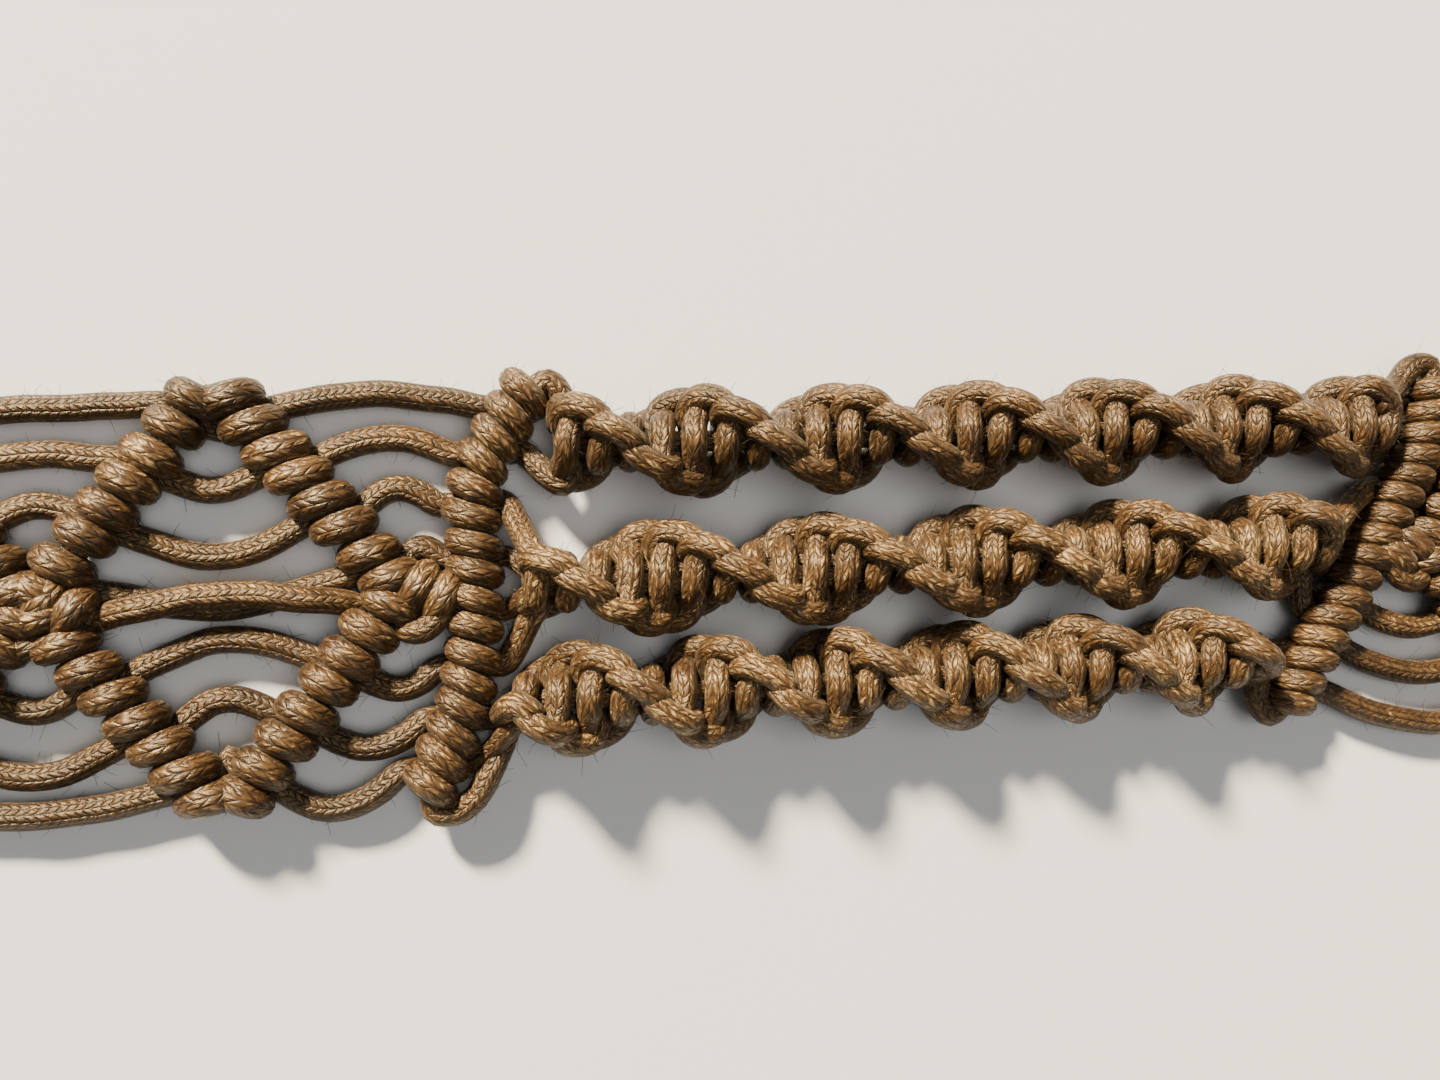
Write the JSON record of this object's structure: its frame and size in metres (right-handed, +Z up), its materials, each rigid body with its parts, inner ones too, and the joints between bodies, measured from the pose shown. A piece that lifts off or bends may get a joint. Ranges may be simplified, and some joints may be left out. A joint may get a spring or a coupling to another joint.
{
  "type": "knotted cord belt",
  "caption": "Flat openwork waist belt knotted from waxed cord: nets of open diamonds, hitched cross bars and spiral sinnets, with a cord eye and a button knot to close it.",
  "frame": {"origin": "on the surface that the belt lies on, under the middle of its whole length and width", "axes": "+X along the belt, from the eye towards the button knot; +Y across it; +Z up from the surface, towards the face that shows"},
  "size_m": [0.8248, 0.0312, 0.015],
  "materials": {
    "waxed_cord": "braided cotton cord, waxed, brown, with a low sheen"
  },
  "bodies": {
    "root": {"cross_bar_centre_left": "waxed_cord", "cross_bar_centre_right": "waxed_cord", "sinnet_centre_near": "waxed_cord", "sinnet_centre_middle": "waxed_cord", "sinnet_centre_far": "waxed_cord", "diamond_net_left": "waxed_cord", "diamond_net_right": "waxed_cord", "cross_bar_left_1": "waxed_cord", "cross_bar_left_2": "waxed_cord", "cross_bar_left_3": "waxed_cord", "cross_bar_left_4": "waxed_cord", "cross_bar_right_1": "waxed_cord", "cross_bar_right_2": "waxed_cord", "cross_bar_right_3": "waxed_cord", "cross_bar_right_4": "waxed_cord", "sinnet_left_1_near": "waxed_cord", "sinnet_left_1_middle": "waxed_cord", "sinnet_left_1_far": "waxed_cord", "sinnet_left_2_near": "waxed_cord", "sinnet_left_2_middle": "waxed_cord", "sinnet_left_2_far": "waxed_cord", "sinnet_left_3_near": "waxed_cord", "sinnet_left_3_middle": "waxed_cord", "sinnet_left_3_far": "waxed_cord", "sinnet_right_1_near": "waxed_cord", "sinnet_right_1_middle": "waxed_cord", "sinnet_right_1_far": "waxed_cord", "sinnet_right_2_near": "waxed_cord", "sinnet_right_2_middle": "waxed_cord", "sinnet_right_2_far": "waxed_cord", "sinnet_right_3_near": "waxed_cord", "sinnet_right_3_middle": "waxed_cord", "sinnet_right_3_far": "waxed_cord", "eye": "waxed_cord", "eye_whipping": "waxed_cord", "button_neck": "waxed_cord", "button_whipping": "waxed_cord", "button_knot": "waxed_cord"}
  },
  "joints": []
}
